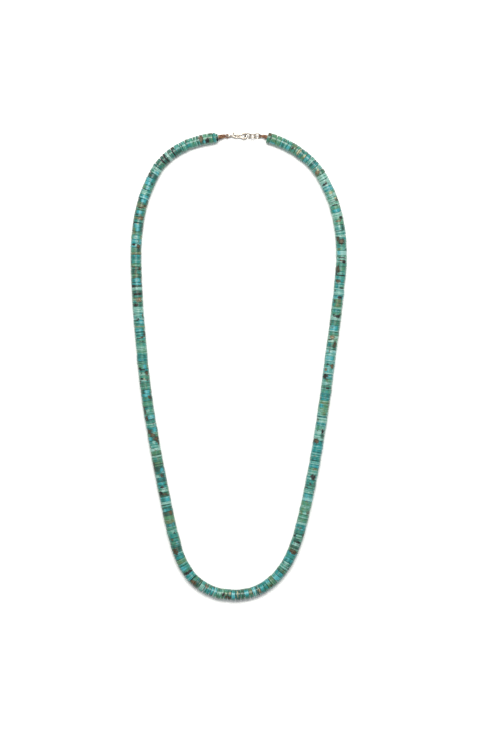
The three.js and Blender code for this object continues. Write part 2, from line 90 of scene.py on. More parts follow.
# The marked discs, charted: millimetres along the string from its left end, how far across the
# string the mark sits, from the outer side (-1) to the inner side (1), or None where it goes right round,
# its length along the string and its width across in millimetres, and its kind.
MARKS = (
    # The first two marks make the small end disc at the left dim and darken the inner side of the first
    # discs.
    (0.5, None, 1.0, 0, "dim"), (0.2, 0.5, 2.0, 3.4, "black"), (3.8, -0.8, 2.4, 1.8, "brown"),
    (6.0, 0.45, 2.2, 3.0, "black"), (8.0, 0.6, 1.6, 2.0, "sky"), (9.6, -0.5, 2.4, 2.6, "rust"),
    (10.0, 0.2, 1.8, 2.6, "tan"), (13.3, -0.7, 2.0, 1.8, "green"), (17.4, 0.4, 3.0, 2.4, "teal"),
    (24.6, 0.6, 2.2, 2.4, "dark"), (26.1, -0.8, 2.2, 2.2, "brown"), (27.1, None, 0.7, 0, "black"),
    (30.5, None, 1.6, 0, "pale"), (32.1, None, 0.8, 0, "black"), (33.6, None, 2.0, 0, "dark"),
    (34.7, 0.0, 1.2, 4.4, "black"), (36.8, None, 2.4, 0, "dim"), (40.0, None, 1.4, 0, "pale"),
    (42.1, 0.5, 2.0, 2.6, "sky"), (43.8, -0.8, 2.2, 1.8, "brown"), (45.0, -0.4, 1.2, 1.6, "brown"),
    (48.8, -0.4, 3.2, 3.4, "sky"), (49.2, 0.5, 0.8, 1.6, "black"), (52.2, 0.1, 1.6, 2.4, "sky"),
    # Painted highlights: the pale mark at 54.7 mm paints highlights on these discs as pale stone, and the
    # sky mark at 59.0 mm is partly sky stone and partly a painted highlight streak across the middle.
    (54.7, -0.3, 2.0, 2.2, "pale"), (59.0, 0.1, 3.4, 2.8, "sky"), (58.7, -0.9, 1.4, 1.0, "black"),
    (61.9, -0.5, 1.6, 2.0, "olive"), (62.8, None, 2.0, 0, "olive"), (62.2, 0.7, 1.6, 1.8, "brown"),
    (63.8, 0.0, 0.8, 3.2, "brown"), (66.3, 0.0, 2.0, 2.8, "sky"), (67.9, -0.5, 0.7, 2.2, "black"),
    (69.6, 0.4, 2.4, 3.0, "tan"), (69.2, -0.6, 1.6, 2.0, "olive"), (72.7, -0.8, 1.6, 1.4, "brown"),
    (73.0, -0.1, 0.9, 1.2, "cream"), (72.8, 0.7, 1.4, 1.4, "brown"), (75.3, -0.1, 1.8, 2.8, "sky"),
    # Painted highlight: the chalk mark at 81.5 mm paints the highlight on a sky disc as chalky pale stone
    # across the string's middle.
    (77.6, -0.6, 2.0, 2.2, "olive"), (79.6, 0.0, 1.6, 3.0, "olive"), (81.5, 0.0, 2.0, 3.2, "chalk"),
    (84.8, -0.5, 1.0, 2.6, "black"), (85.7, 0.5, 2.6, 2.4, "brown"), (87.7, 0.6, 1.8, 2.4, "dark"),
    (89.7, None, 1.5, 0, "olive"), (91.7, None, 1.9, 0, "deep"), (94.5, -0.9, 1.8, 1.1, "black"),
    (96.5, -0.6, 1.4, 1.8, "olive"), (98.0, 0.1, 0.9, 1.2, "tan"), (98.5, 0.7, 1.8, 1.8, "brown"),
    (99.7, -0.5, 1.6, 2.4, "dark"), (101.5, -0.2, 2.0, 3.2, "olive"), (101.7, 0.7, 1.8, 1.8, "dark"),
    (105.9, 0.2, 1.8, 2.8, "sky"), (105.9, -0.7, 1.8, 1.8, "deep"), (107.3, 0.8, 1.0, 1.3, "black"),
    (108.1, -0.7, 1.8, 2.2, "black"), (108.1, None, 1.2, 0, "dark"), (110.1, None, 1.2, 0, "pale"),
    (112.0, None, 1.2, 0, "dark"), (112.7, 0.1, 1.2, 4.6, "black"), (115.9, 0.4, 2.8, 3.0, "tan"),
    (115.7, -0.6, 2.0, 2.2, "olive"), (118.8, -0.4, 1.4, 3.2, "black"), (120.5, None, 1.2, 0, "pale"),
    (122.7, None, 1.2, 0, "pale"), (124.0, -0.9, 1.6, 1.1, "black"), (124.6, 0.8, 2.2, 1.2, "rust"),
    (127.0, -0.2, 1.4, 1.5, "black"), (128.9, 0.5, 1.4, 2.2, "sky"), (130.9, None, 0.4, 0, "tan"),
    (133.5, -0.1, 3.4, 4.0, "teal"), (135.4, 0.75, 3.2, 2.0, "brown"), (137.1, 0.4, 1.2, 2.2, "brown"),
    (137.6, -0.3, 0.6, 3.2, "black"), (139.4, 0.3, 0.6, 2.8, "black"), (142.8, None, 1.2, 0, "pale"),
    (149.9, None, 1.4, 0, "deep"), (154.4, -0.7, 1.4, 2.0, "black"), (154.5, 0.4, 1.0, 2.2, "sky"),
    (155.3, -0.1, 0.7, 3.2, "black"), (157.3, -0.3, 1.1, 1.1, "black"), (157.1, 0.6, 2.0, 2.2, "brown"),
    (158.9, 0.7, 1.8, 1.6, "tan"), (160.7, 0.1, 1.2, 1.4, "cream"), (160.7, -0.5, 1.6, 1.8, "black"),
    (161.1, 0.7, 1.6, 1.8, "brown"), (162.2, -0.8, 2.4, 1.4, "brown"), (167.7, 0.0, 0.6, 5.0, "dark"),
    (169.1, 0.2, 1.6, 2.8, "sky"), (171.5, 0.7, 2.6, 2.4, "brown"), (170.2, 0.3, 0.8, 1.0, "tan"),
    (174.6, None, 2.6, 0, "green"), (176.3, -0.8, 1.8, 1.2, "brown"), (178.5, -0.75, 2.6, 2.2, "brown"),
    (182.7, -0.6, 2.6, 2.4, "brown"), (183.1, 0.4, 2.0, 2.8, "sky"), (186.5, None, 1.3, 0, "pale"),
    (190.5, -0.6, 3.2, 2.8, "brown"), (192.5, 0.0, 2.2, 3.6, "brown"), (189.9, 0.5, 2.2, 2.2, "sky"),
    (193.9, -0.7, 2.4, 2.0, "sky"), (194.9, 0.6, 2.6, 3.0, "brown"), (197.1, 0.8, 2.2, 2.0, "brown"),
    (196.7, 0.0, 1.0, 1.8, "pale"), (199.0, -0.8, 1.0, 1.4, "rust"),
    (200.7, None, 1.6, 0, "pale"), (204.7, None, 1.0, 0, "pale"), (208.9, -0.8, 2.2, 1.6, "brown"),
    (209.1, 0.8, 1.4, 1.2, "brown"), (211.8, -0.3, 3.0, 3.2, "dark"), (210.8, -0.8, 2.4, 1.4, "brown"),
    (212.7, 0.6, 2.4, 2.2, "sky"), (215.9, 0.4, 2.2, 2.6, "brown"), (215.7, -0.6, 2.0, 2.2, "pale"),
    (220.3, -0.2, 3.6, 4.4, "teal"), (222.3, -0.1, 1.0, 2.8, "black"), (223.7, 0.2, 0.8, 4.4, "pale"),
    (225.8, -0.6, 2.0, 2.4, "black"), (226.3, 0.1, 1.2, 2.6, "brown"), (228.3, 0.5, 1.6, 2.2, "sky"),
    (231.4, None, 1.4, 0, "pale"), (235.7, -0.5, 2.4, 2.4, "sky"), (236.9, 0.5, 2.4, 2.2, "rust"),
    (241.5, 0.2, 1.8, 3.4, "olive"), (244.1, None, 2.0, 0, "deep"), (248.9, 0.4, 0.8, 1.4, "black"),
    (253.9, 0.5, 2.2, 1.8, "sky"), (257.5, 0.6, 1.4, 2.2, "dark"), (259.2, -0.35, 3.2, 3.4, "brown"),
    (261.7, 0.0, 2.2, 4.4, "teal"), (265.3, None, 2.6, 0, "moss"), (269.5, -0.4, 2.6, 2.6, "sky"),
    (272.6, 0.0, 1.3, 5.8, "black"), (275.5, 0.2, 2.4, 4.4, "teal"), (278.6, -0.4, 3.2, 3.2, "rust"),
    (286.0, 0.6, 2.6, 2.4, "tan"), (285.1, -0.3, 2.2, 2.6, "pale"), (288.9, -0.2, 3.2, 3.8, "teal"),
    (290.7, 0.4, 2.4, 2.2, "sky"), (293.5, 0.2, 1.6, 1.8, "pale"), (296.8, -0.1, 1.4, 3.0, "black"),
    (298.5, 0.3, 1.4, 2.4, "moss"), (298.5, -0.5, 1.4, 2.2, "brown"), (300.3, -0.6, 2.2, 2.6, "brown"),
    (300.5, 0.3, 1.2, 2.0, "buff"), (302.5, 0.0, 1.6, 3.2, "sky"), (304.9, 0.1, 0.7, 3.6, "buff"),
    (308.9, 0.2, 1.6, 2.8, "sky"), (311.5, 0.3, 1.2, 3.8, "olive"), (313.3, 0.2, 0.9, 1.6, "buff"),
    (315.5, 0.5, 1.4, 2.4, "sky"), (317.5, -0.2, 1.4, 3.2, "tan"), (319.5, 0.3, 1.6, 3.4, "teal"),
    (323.9, -0.4, 2.6, 3.2, "moss"), (324.3, -0.5, 1.4, 1.8, "brown"), (326.3, 0.5, 1.4, 2.2, "olive"),
    (328.7, -0.2, 1.6, 3.2, "sky"), (332.0, None, 2.4, 0, "teal"), (335.4, 0.2, 2.0, 3.2, "dim"),
    (337.0, -0.8, 1.6, 1.6, "brown"), (338.6, 0.2, 1.4, 3.2, "pale"), (341.3, None, 2.6, 0, "teal"),
    (346.7, 0.0, 2.4, 5.0, "brown"), (346.6, -0.3, 1.0, 1.4, "tan"), (347.8, 0.7, 1.2, 1.6, "olive"),
    (349.8, 0.5, 1.0, 2.4, "dark"), (351.2, 0.0, 0.8, 4.6, "pale"), (352.7, -0.4, 1.2, 3.0, "black"),
    (354.4, 0.2, 2.2, 2.0, "dark"), (356.0, 0.7, 2.4, 2.0, "black"), (356.8, -0.8, 2.6, 1.6, "brown"),
    (360.2, -0.1, 2.6, 4.0, "teal"), (363.4, None, 1.2, 0, "pale"), (366.6, None, 3.6, 0, "green"),
    (369.8, -0.7, 2.0, 2.0, "rust"), (369.8, 0.7, 1.6, 1.8, "olive"), (373.2, None, 1.0, 0, "pale"),
    (375.4, None, 1.6, 0, "green"), (377.6, None, 1.6, 0, "chalk"), (379.6, 0.2, 1.8, 4.4, "teal"),
    (382.3, -0.7, 1.4, 1.4, "black"), (386.2, 0.1, 1.4, 1.4, "black"), (383.9, 0.7, 1.6, 1.4, "brown"),
    (390.3, -0.25, 2.8, 3.0, "black"), (389.2, -0.4, 1.0, 2.2, "rust"), (394.6, -0.2, 1.2, 3.6, "olive"),
    (400.6, 0.1, 2.0, 2.4, "deep"), (404.8, None, 2.4, 0, "teal"), (410.6, 0.5, 2.8, 3.2, "brown"),
    (414.0, -0.7, 1.2, 1.8, "dark"),
    (416.3, -0.6, 2.2, 2.0, "black"), (417.4, 0.4, 2.4, 2.4, "green"), (420.2, None, 1.8, 0, "teal"),
    (422.3, 0.8, 2.4, 1.4, "brown"), (424.6, None, 1.0, 0, "deep"), (426.6, -0.3, 2.0, 2.8, "moss"),
    (427.0, 0.6, 1.4, 2.2, "pale"), (430.8, 0.6, 1.4, 1.8, "sky"), (433.2, -0.8, 3.0, 1.2, "olive"),
    (434.8, None, 2.0, 0, "teal"), (437.3, -0.5, 1.6, 2.2, "dark"), (437.3, None, 1.4, 0, "deep"),
    (440.8, -0.2, 1.8, 1.6, "black"), (444.6, 0.0, 1.6, 3.0, "moss"), (447.3, 0.5, 3.0, 3.2, "black"),
    (449.2, None, 0.8, 0, "pale"), (451.0, 0.6, 1.6, 1.8, "tan"), (453.4, -0.5, 2.6, 2.8, "rust"),
    (454.2, 0.3, 1.0, 1.6, "black"), (456.6, 0.2, 2.2, 4.0, "sky"), (461.6, None, 1.6, 0, "chalk"),
    (463.1, -0.6, 1.2, 1.8, "dark"), (465.6, -0.5, 3.0, 2.2, "brown"), (465.8, 0.6, 2.4, 2.4, "deep"),
    (468.1, 0.5, 0.8, 2.6, "brown"), (469.6, 0.3, 1.8, 3.2, "tan"), (475.0, 0.1, 2.4, 3.2, "sky"),
    (476.7, 0.8, 1.4, 1.2, "black"), (479.9, None, 0.8, 0, "pale"), (481.7, -0.3, 1.8, 3.6, "black"),
    (482.3, 0.6, 1.2, 1.8, "black"), (485.4, 0.0, 1.8, 3.4, "teal"), (490.0, -0.2, 2.0, 3.6, "olive"),
    (489.8, 0.7, 1.8, 1.8, "brown"), (492.2, -0.3, 1.2, 3.0, "black"), (494.8, 0.0, 1.6, 3.4, "pale"),
    (496.0, 0.8, 1.4, 1.2, "brown"), (497.6, -0.5, 0.6, 2.2, "black"), (498.4, 0.4, 1.6, 3.0, "teal"),
    (501.4, 0.4, 1.8, 3.0, "brown"), (504.7, None, 0.5, 0, "black"), (506.6, 0.85, 3.2, 1.6, "black"),
    (508.0, 0.7, 4.0, 3.2, "brown"), (512.3, -0.5, 1.6, 2.4, "black"), (513.0, 0.2, 0.8, 2.6, "brown"),
    # Painted highlight: the pale mark at 516.0 mm paints the white highlight spots on these discs as pale
    # stone.
    (514.8, 0.0, 0.6, 4.4, "black"), (516.3, 0.5, 1.8, 2.4, "sky"), (516.0, -0.2, 1.4, 1.8, "pale"),
    (520.0, 0.5, 1.6, 2.0, "olive"), (523.9, 0.0, 2.8, 3.4, "brown"), (525.6, 0.7, 2.6, 2.4, "brown"),
    (526.8, None, 1.4, 0, "pale"), (530.8, 0.7, 2.2, 1.4, "black"), (530.2, -0.6, 1.6, 2.2, "dark"),
    (535.4, 0.0, 1.2, 3.6, "tan"), (537.3, -0.6, 1.8, 2.0, "black"), (538.2, -0.9, 1.0, 1.0, "cream"),
    (541.2, -0.1, 2.4, 3.4, "sky"), (544.8, 0.1, 0.6, 3.2, "black"), (547.4, -0.7, 2.0, 1.8, "rust"),
    (548.3, -0.5, 0.8, 1.4, "cream"), (551.8, -0.1, 1.6, 2.0, "cream"), (554.2, -0.3, 2.0, 2.6, "sky"),
    (557.7, 0.3, 1.4, 3.2, "black"), (560.6, -0.2, 1.4, 1.8, "pale"), (565.6, 0.4, 2.8, 2.8, "tan"),
    (566.6, 0.0, 1.4, 1.4, "cream"), (571.0, -0.3, 2.0, 2.8, "deep"), (577.1, -0.8, 1.6, 1.4, "black"),
    (577.4, 0.0, 1.2, 1.8, "cream"), (577.2, 0.5, 1.2, 1.8, "olive"), (581.4, 0.0, 1.4, 4.8, "cream"),
    (585.6, 0.1, 1.8, 2.2, "brown"), (585.6, -0.6, 1.6, 1.8, "olive"), (588.2, 0.6, 2.0, 2.0, "sky"),
    (592.2, 0.4, 2.2, 3.0, "deep"), (598.0, 0.8, 2.4, 1.6, "sky"), (598.9, 0.0, 0.7, 2.0, "black"),
    (600.2, -0.7, 2.4, 2.8, "rust"),
)

# A stone mark takes a disc that shares at least this much of the shorter of the two, is full up to
# MARK_FADE - 1 half widths from its middle, and has faded out at MARK_FADE.
LEAST_SHARED = 0.4
MARK_FADE = 1.6

# How many matrix marks one disc can have.
ORE_SLOTS = 3

# How the unmarked stones differ in tint. Runs of discs cut from one stone share a part of theirs.
USUAL_TINT = 0.53
TINT_BY_RUN = 0.12
TINT_BY_DISC = 0.11
TINT_LIMITS = (0.2, 0.85)
LONGEST_RUN = 4

# How dark or pale the unmarked stones are: millimetres along the string, and the usual tone there.
USUAL_TONES = (
    (0, -0.1), (50, -0.3), (250, -0.35), (285, -0.35), (305, -0.8), (320, -0.5), (335, 0.0), (400, 0.35),
    (550, 0.35), (600, 0.0),
)
TONE_BY_DISC = 0.55
TONE_LIMITS = (-1.1, 1.0)

# Each disc takes its pattern from a place of its own in the noise, within this range.
PATTERN_RANGE = 40.0

# The small flecks of matrix: the share of slots that have one, and the ranges of their half length and half
# width in millimetres, their amount and their hue.
FLECK_CHANCE = 0.3
FLECK_SIZES = (0.2, 0.8)
FLECK_AMOUNTS = (0.4, 1.0)
FLECK_HUES = (0.3, 0.9)

# The limits of the discs' thickness and of their wear, against the usual, and of what is added to a
# diameter, as a share.
THICKNESS_LIMITS = (0.45, 1.8)
WEAR_LIMITS = (0.4, 1.8)
DIAMETER_LIMITS = (-0.035, 0.003)

DISC_SIDES = 12


def linear(hex_colour):
    """A colour given as sRGB hex, in the linear values that shaders take."""
    value = np.array([int(hex_colour[i : i + 2], 16) for i in (1, 3, 5)]) / 255
    low = value / 12.92
    high = ((value + 0.055) / 1.055) ** 2.4
    return (*np.where(value <= 0.04045, low, high).tolist(), 1.0)


def length(name, description, millimetres):
    """A length that a user may change, given here in millimetres."""
    return bpy.props.FloatProperty(
        name=name, description=description, default=millimetres * MM, unit="LENGTH", precision=5
    )


def share(name, description, default):
    """A share that a user may change."""
    return bpy.props.FloatProperty(name=name, description=description, default=default, min=0.0)


def angle(name, description, degrees):
    """An angle that a user may change, given here in degrees."""
    return bpy.props.FloatProperty(
        name=name, description=description, default=float(np.radians(degrees)), unit="ROTATION"
    )


def power(name, description, watts):
    """A light's power that a user may change."""
    return bpy.props.FloatProperty(name=name, description=description, default=watts, unit="POWER")


def colour(name, description, hex_colour):
    """A colour that a user may change, given here as sRGB hex."""
    return bpy.props.FloatVectorProperty(
        name=name, description=description, default=linear(hex_colour), size=4, subtype="COLOR",
        min=0.0, max=1.0,
    )


class DiscSettings(bpy.types.PropertyGroup):
    """The stone discs and the cord through them."""

    diameter: length("Diameter", "Across one disc", 6.03)
    pitch: length("Pitch", "Average thickness of a disc with its seam", 2.055)
    hole: length("Hole", "Across a disc's drilled hole", 1.2)
    edge: length("Worn edge", "How far a disc's edge is worn, along its axis", 0.12)
    edge_depth: share("Worn depth", "How deep the worn edge is, against its length", 0.55)
    most_wear: share("Most wear", "How far an edge can be worn, as a share of half a disc", 0.5)
    end_disc: share("End disc", "Diameter of the left end disc, against the usual", 0.74)
    end_wear: share("End wear", "Wear of the disc beside it, as a share of half that disc", 0.8)
    unevenness: share("Unevenness", "How far a rim is off round, as a share", 0.003)
    seam: length("Seam", "From one disc to the next", 0.02)
    side_step: length("Side step", "How far the discs sit off the line", 0.07)
    lean: angle("Lean", "How far the discs lean off square", 1.1)
    thickness_spread: share("Thickness spread", "How far thicknesses differ, as a share", 0.28)
    diameter_spread: share("Diameter spread", "How far diameters differ, as a share", 0.012)
    cord: length("Cord", "Across the cord through the discs", 0.8)
    seed: bpy.props.IntProperty(name="Seed", description="Choice of stones", default=11)
    olive: colour("Olive", "The greenest stone", "#5f694a")
    sage: colour("Sage", "Grey-green stone", "#427955")
    green: colour("Green", "Green stone", "#387e6b")
    teal: colour("Teal", "Blue-green stone", "#087976")
    sky: colour("Sky", "The bluest stone", "#319198")
    pale: colour("Pale", "Chalky stone", "#88b2a8")
    dark: colour("Dark", "Stone stained dark", "#173b32")
    cream: colour("Cream matrix", "Lightest matrix", "#a1a180")
    rust: colour("Rust matrix", "Rusty matrix", "#5d4a32")
    brown: colour("Brown matrix", "Brown matrix", "#423a23")
    black: colour("Black matrix", "Darkest matrix", "#0f0e09")


class ClaspSettings(bpy.types.PropertyGroup):
    """The hook, the rings and the bound cord ends."""

    hook_wire: length("Hook wire", "Across the hook's wire", 0.9)
    hook_eye: length("Hook eye", "Across the hook's eye, outside", 3.2)
    hook_bend: length("Hook bend", "Across the hook's bend, outside", 3.9)
    neck_gap: length("Neck gap", "From the hook's shank to its arm", 0.45)
    neck_length: length("Neck length", "Where the shank and the arm run side by side", 3.6)
    tip_rise: length("Tip rise", "From the hook's middle line to its tip", 1.6)
    tip_ball: length("Tip ball", "Across the ball at the hook's tip", 1.1)
    solder_length: length("Solder", "How far solder runs up the wire from the eye", 0.7)
    solder_swell: share("Solder swell", "How much thicker it makes the wire, as a share", 0.3)
    ring_wire: length("Ring wire", "Across a ring's wire", 0.68)
    ring_tilt: angle("Ring tilt", "From flat, to each side in turn", 50)
    loop_cord: length("Loop cord", "Across the cord of the loops", 0.66)
    loop_twist: length("Loop twist", "One turn of the plies in the loops' cord", 1.2)
    loop_room: length("Loop room", "Room in a loop beside the wire that it holds", 0.36)
    binding_cord: length("Binding cord", "Across the cord that binds the ends", 0.5)
    binding_twist: length("Binding twist", "One turn of the plies in the binding cord", 1.1)
    binding_start: length("Binding at the discs", "Across the binding beside the discs", 2.3)
    binding_end: length("Binding at the loop", "Across the binding beside the loop", 1.75)
    binding_clearance: length("Binding clearance", "From the end disc to the binding", 0.15)
    left_binding: length("Left binding", "Length of the binding beside the hook", 4.1)
    left_fullness: share("Left fullness", "How thick the left binding is, against the right one", 1.16)
    right_binding: length("Right binding", "Length of the binding beside the rings", 2.9)
    bright: colour("Silver", "Rubbed silver", "#c6bdb1")
    tarnished: colour("Tarnish", "Tarnished silver", "#8c8275")
    dye_dark: colour("Dark cord", "Cord where the dye is dark", "#382213")
    dye: colour("Cord", "Cord", "#6e4326")
    dye_light: colour("Light cord", "Cord where the dye is rubbed", "#9a7248")


class StageSettings(bpy.types.PropertyGroup):
    """The floor, the lights and the camera."""

    floor_side: length("Floor", "Side of the floor", 8000)
    floor_colour: colour("Floor colour", "Matt white paper", "#f7f7f6")
    camera_height: length("Camera height", "From the discs' middle up to the camera", 1200)
    framed: length("Framed length", "What the picture's long side spans", 414.7)
    aside: length("Camera aside", "From the middle to the camera, along X", 0.6)
    ahead: length("Camera ahead", "From the middle to the camera, along Y", -1.13)
    key_width: length("Key light width", "Across the key light, along X", 950)
    key_depth: length("Key light depth", "Across the key light, the other way", 460)
    key_ahead: length("Key light ahead", "From the middle to the key light, along Y", 460)
    key_height: length("Key light height", "From the floor up to the key light", 1120)
    key_power: power("Key light", "Power of the key light", 17.2)
    key_colour: colour("Key colour", "Colour of the key light", "#fffdf8")
    surround: share("Surrounding light", "Strength of the even light", 0.52)
    surround_colour: colour("Surround colour", "Colour of the even light", "#f8faff")


def spline(points, per_span=48):
    """A centripetal Catmull-Rom curve through points.

    Each span is a cubic Hermite curve. Its end slopes come from the neighbouring points, weighted by the
    square roots of the distances. Before the first and after the last point the line goes straight on.
    """
    p = np.asarray(points, float)
    p = np.vstack([2 * p[0] - p[1], p, 2 * p[-1] - p[-2]])
    a, b, c, d = p[:-3], p[1:-2], p[2:-1], p[3:]
    before, span, after = (np.linalg.norm(v, axis=1)[:, None] ** 0.5 for v in (b - a, c - b, d - c))
    leave = span * ((b - a) / before - (c - a) / (before + span) + (c - b) / span)
    reach = span * ((c - b) / span - (d - b) / (span + after) + (d - c) / after)
    t = (np.arange(per_span) / per_span)[None, :, None]
    b, c, leave, reach = (v[:, None] for v in (b, c, leave, reach))
    line = (2 * t**3 - 3 * t**2 + 1) * b + (t**3 - 2 * t**2 + t) * leave
    line = line + (3 * t**2 - 2 * t**3) * c + (t**3 - t**2) * reach
    return np.vstack([line.reshape(-1, p.shape[1]), p[-2]])


def lengths_along(line):
    """The distance from the line's start to each of its points."""
    steps = np.linalg.norm(np.diff(line, axis=0), axis=1)
    return np.concatenate([[0.0], np.cumsum(steps)])


def at_lengths(line, wanted):
    """The points of a line at the wanted distances from its start."""
    have = lengths_along(line)
    return np.stack([np.interp(wanted, have, column) for column in line.T], axis=1)


def evenly(line, count):
    """A line's points set at equal distances."""
    return at_lengths(line, np.linspace(0.0, lengths_along(line)[-1], count))


def unit(vectors):
    return vectors / np.linalg.norm(vectors, axis=-1, keepdims=True)


def directions(line, closed=False):
    """The direction of a line at each point: from the point before it to the point after it."""
    if closed:
        return unit(np.roll(line, -1, axis=0) - np.roll(line, 1, axis=0))
    return unit(np.gradient(line, axis=0))


def grid_faces(rows, columns, wrap_rows=False):
    """Quads between neighbouring rows of a grid whose columns close on themselves."""
    row = np.arange(rows if wrap_rows else rows - 1)[:, None]
    column = np.arange(columns)[None, :]
    next_row, next_column = (row + 1) % rows, (column + 1) % columns
    corners = (
        row * columns + column,
        row * columns + next_column,
        next_row * columns + next_column,
        next_row * columns + column,
    )
    return np.stack(np.broadcast_arrays(*corners), axis=-1).reshape(-1, 4)


def tube(line, up, radius, sides=14, closed=False):
    """A round bar along a line, as vertices and faces.

    Each point of the line carries a circle across the line's direction: point + radius * (cos a * side +
    sin a * top). The side is square to the up vector and the direction. The radius may differ by point
    and by angle.
    """
    forward = directions(line, closed)
    side = unit(np.cross(up, forward))
    top = np.cross(forward, side)
    turn = 2 * np.pi * np.arange(sides) / sides
    reach = np.broadcast_to(np.asarray(radius, float), (len(line), sides))[..., None]
    spoke = np.cos(turn)[None, :, None] * side[:, None] + np.sin(turn)[None, :, None] * top[:, None]
    points = (line[:, None] + reach * spoke).reshape(-1, 3)
    faces = grid_faces(len(line), sides, closed).tolist()
    if not closed:
        last = (len(line) - 1) * sides
        faces.append(list(range(sides))[::-1])
        faces.append(list(range(last, last + sides)))
    return points, faces


def ring(centre, radius, across, axis, wire, sides=14, around=60):
    """A ring of round wire: the circle centre + radius * (cos a * X + sin a * across), as a closed tube."""
    turn = np.linspace(0, 2 * np.pi, around, endpoint=False)[:, None]
    circle = np.cos(turn) * np.array([1.0, 0.0, 0.0]) + np.sin(turn) * np.asarray(across)
    return tube(centre + radius * circle, np.asarray(axis), wire / 2, sides, closed=True)


def ball(centre, diameter, rings=11, sides=16):
    """A ball: circles of radius r * sin p at places r * cos p along X, where p runs from pole to pole."""
    polar = np.linspace(np.pi - 0.12, 0.12, rings)
    radius = diameter / 2
    line = np.asarray(centre) + np.outer(radius * np.cos(polar), [1.0, 0.0, 0.0])
    return tube(line, UP, (radius * np.sin(polar))[:, None], sides)


def plied(radius, line, pitch, plies=3, sides=12, depth=0.14):
    """The radius of a twisted cord: one round lobe for each ply, which turn once in each pitch."""
    twist = 2 * np.pi * lengths_along(line)[:, None] / pitch
    turn = 2 * np.pi * np.arange(sides)[None, :] / sides
    return radius * (1 - depth + depth * np.abs(np.cos(plies * (turn - twist) / 2)))


def merged(*shapes):
    """Several shapes as one list of vertices and one of faces."""
    points, faces, count = [], [], 0
    for shape_points, shape_faces in shapes:
        faces += [[corner + count for corner in face] for face in shape_faces]
        points.append(shape_points)
        count += len(shape_points)
    return np.vstack(points), faces


def add_piece(name, shape, material, replaced=(), crease=50):
    """Puts a shape into the scene as a piece of the necklace that stands for the replaced nodes.

    Edges that turn by more than the crease, in degrees, stay sharp.
    """
    points, faces = shape
    mesh = bpy.data.meshes.new(name)
    mesh.from_pydata(np.asarray(points).tolist(), [], [list(face) for face in faces])
    mesh.shade_smooth()
    mesh.set_sharp_from_angle(angle=float(np.radians(crease)))
    mesh.materials.append(material)
    piece = bpy.data.objects.new(name, mesh)
    bpy.context.scene.collection.objects.link(piece)
    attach(piece, "root")
    if replaced:
        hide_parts(*replaced)
    return piece


def add_node(tree, kind, settings=None, links=None):
    """Adds a node, sets its properties and input values, and links its inputs to other nodes' outputs."""
    node = tree.nodes.new(kind)
    for key, value in (settings or {}).items():
        if isinstance(key, int) or key in node.inputs:
            node.inputs[key].default_value = value
        else:
            setattr(node, key, value)
    for key, output in (links or {}).items():
        tree.links.new(output, node.inputs[key])
    return node


def new_material(name):
    material = bpy.data.materials.new(name)
    material.use_nodes = True
    material.node_tree.nodes.clear()
    return material


def set_ramp(node, stops):
    """Gives a colour ramp its stops, each a place and a linear colour."""
    elements = node.color_ramp.elements
    while len(elements) < len(stops):
        elements.new(0.5)
    for element, (place, stop_colour) in zip(elements, stops):
        element.position = place
        element.color = tuple(stop_colour)


def finish_surface(tree, shader):
    add_node(tree, "ShaderNodeOutputMaterial", links={"Surface": shader.outputs["BSDF"]})


